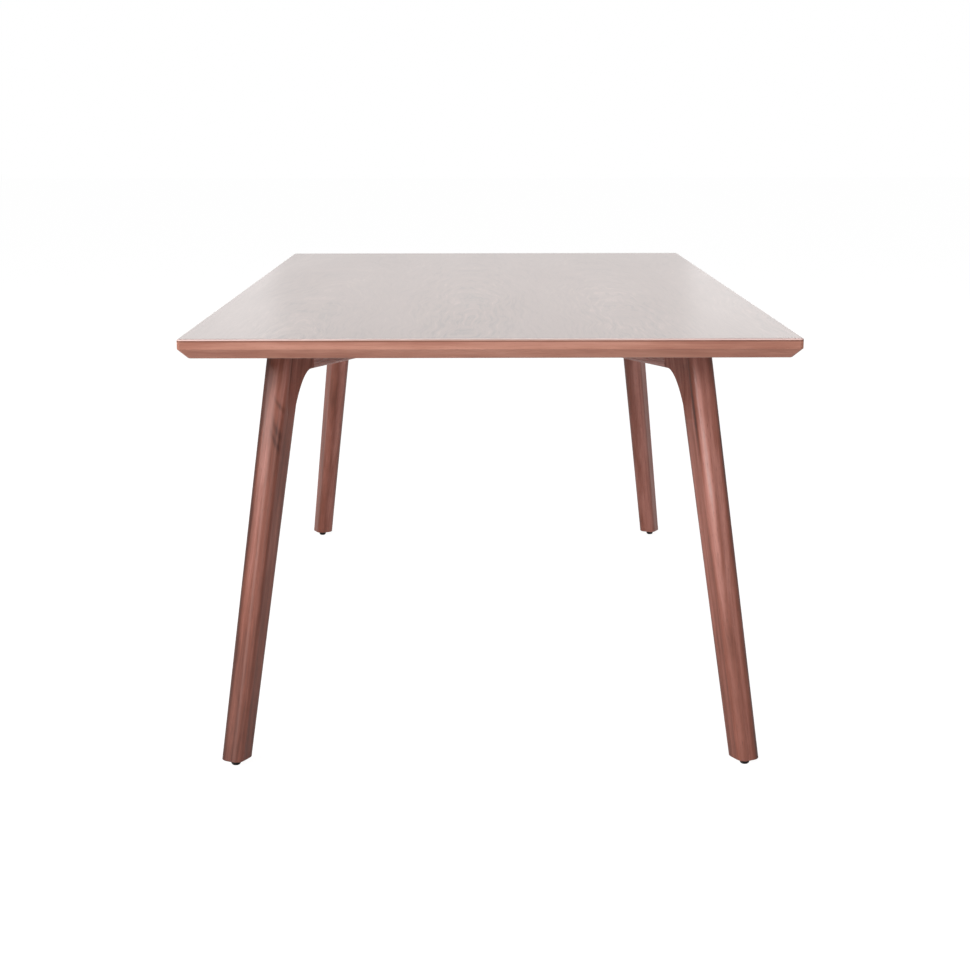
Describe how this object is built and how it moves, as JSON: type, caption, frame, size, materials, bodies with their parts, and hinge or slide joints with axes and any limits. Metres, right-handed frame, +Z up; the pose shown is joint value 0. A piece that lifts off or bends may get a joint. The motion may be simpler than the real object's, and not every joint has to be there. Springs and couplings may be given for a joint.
{
  "type": "dining table",
  "caption": "Rectangular wooden dining table with a bevel-edged veneered top, legs splayed along its diagonals, crossed half-lapped rails and screw-in levelling glides.",
  "frame": {"origin": "on the floor, straight under the middle of the top, where the diagonal rails cross", "axes": "+Z up, +Y along the length of the top to its back end as pictured, +X across it to the right"},
  "size_m": [1, 1.8, 0.74],
  "materials": {
    "walnut_veneer": "satin lacquer",
    "walnut_lipping": "satin lacquer",
    "walnut_solid": "satin lacquer",
    "core_board": "raw board",
    "beech": "raw",
    "zinc_steel": "zinc plated",
    "black_plastic": "moulded"
  },
  "bodies": {
    "table": {"top_core": "core_board", "top_face_veneer": "walnut_veneer", "top_backing_veneer": "walnut_veneer", "edge_lipping_front": "walnut_lipping", "edge_lipping_back": "walnut_lipping", "edge_lipping_left": "walnut_lipping", "edge_lipping_right": "walnut_lipping", "lipping_tongues": "beech", "diagonal_rail_upper": "walnut_solid", "diagonal_rail_lower": "walnut_solid", "leg_front_left": "walnut_solid", "leg_front_right": "walnut_solid", "leg_back_left": "walnut_solid", "leg_back_right": "walnut_solid", "leg_dowels": "beech", "hanger_bolts": "zinc_steel", "clamp_plates": "zinc_steel", "hanger_nuts": "zinc_steel", "top_bolts": "zinc_steel", "top_bolt_washers": "zinc_steel", "top_inserts": "zinc_steel", "foot_inserts": "zinc_steel"},
    "stem_front_left": {"glide_stem_front_left": "zinc_steel"},
    "pad_front_left": {"glide_pad_front_left": "black_plastic"},
    "stem_front_right": {"glide_stem_front_right": "zinc_steel"},
    "pad_front_right": {"glide_pad_front_right": "black_plastic"},
    "stem_back_left": {"glide_stem_back_left": "zinc_steel"},
    "pad_back_left": {"glide_pad_back_left": "black_plastic"},
    "stem_back_right": {"glide_stem_back_right": "zinc_steel"},
    "pad_back_right": {"glide_pad_back_right": "black_plastic"}
  },
  "joints": [
    {"name": "glide_travel_front_left", "type": "slide", "parent": "table", "child": "stem_front_left", "axis": [0, 0, -1], "range_m": [0, 0.01]},
    {"name": "glide_turn_front_left", "type": "hinge", "parent": "stem_front_left", "child": "pad_front_left", "pos_m": [-0.436, -0.836, 0], "axis": [0, 0, -1], "range_deg": [0, 2880]},
    {"name": "glide_travel_front_right", "type": "slide", "parent": "table", "child": "stem_front_right", "axis": [0, 0, -1], "range_m": [0, 0.01]},
    {"name": "glide_turn_front_right", "type": "hinge", "parent": "stem_front_right", "child": "pad_front_right", "pos_m": [0.436, -0.836, 0], "axis": [0, 0, -1], "range_deg": [0, 2880]},
    {"name": "glide_travel_back_left", "type": "slide", "parent": "table", "child": "stem_back_left", "axis": [0, 0, -1], "range_m": [0, 0.01]},
    {"name": "glide_turn_back_left", "type": "hinge", "parent": "stem_back_left", "child": "pad_back_left", "pos_m": [-0.436, 0.836, 0], "axis": [0, 0, -1], "range_deg": [0, 2880]},
    {"name": "glide_travel_back_right", "type": "slide", "parent": "table", "child": "stem_back_right", "axis": [0, 0, -1], "range_m": [0, 0.01]},
    {"name": "glide_turn_back_right", "type": "hinge", "parent": "stem_back_right", "child": "pad_back_right", "pos_m": [0.436, 0.836, 0], "axis": [0, 0, -1], "range_deg": [0, 2880]}
  ],
  "couplings": [
    {"joint": "glide_turn_front_left", "follows": "glide_travel_front_left", "rad_per_m": 5026.5},
    {"joint": "glide_turn_front_right", "follows": "glide_travel_front_right", "rad_per_m": 5026.5},
    {"joint": "glide_turn_back_left", "follows": "glide_travel_back_left", "rad_per_m": 5026.5},
    {"joint": "glide_turn_back_right", "follows": "glide_travel_back_right", "rad_per_m": 5026.5}
  ]
}
